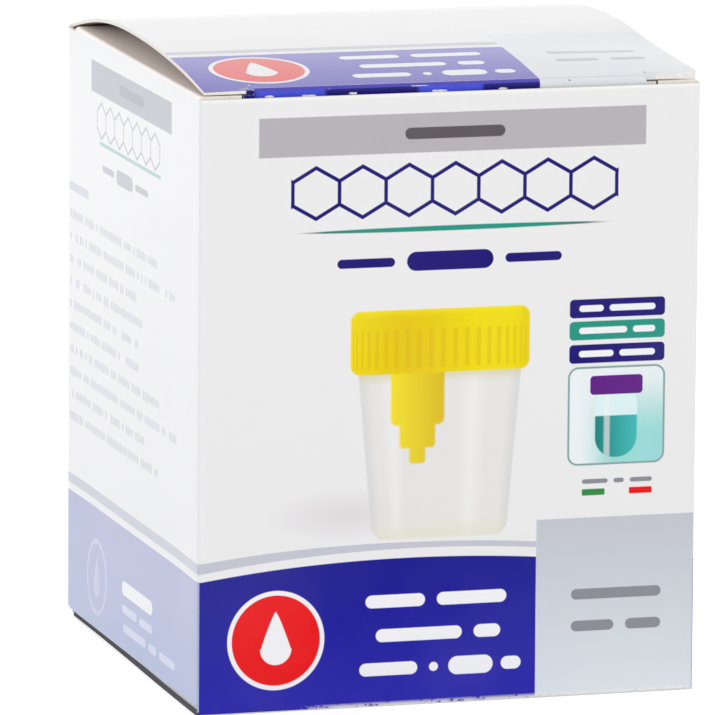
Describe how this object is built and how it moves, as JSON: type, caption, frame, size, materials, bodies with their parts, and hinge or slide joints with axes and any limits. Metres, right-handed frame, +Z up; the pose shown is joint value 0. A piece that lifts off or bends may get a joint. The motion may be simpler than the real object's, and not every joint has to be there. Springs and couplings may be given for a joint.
{
  "type": "folding carton",
  "caption": "Small square folding carton of printed board with a hinged slit-lock tuck lid, dust flaps and a glued bottom.",
  "frame": {"origin": "middle of the base, on the surface that the carton stands on", "axes": "+Z up, -Y towards the front panel, which the lid tucks behind, +X to the right of someone facing the front"},
  "size_m": [0.067, 0.067, 0.0841],
  "materials": {
    "printed_board": "satin"
  },
  "bodies": {
    "carton": {"carton": "printed_board"},
    "lid": {"lid": "printed_board"}
  },
  "joints": [
    {"name": "lid_hinge", "type": "hinge", "parent": "carton", "child": "lid", "pos_m": [0, 0.0335, 0.0808], "axis": [-1, 0, 0], "range_deg": [0, 180]}
  ]
}
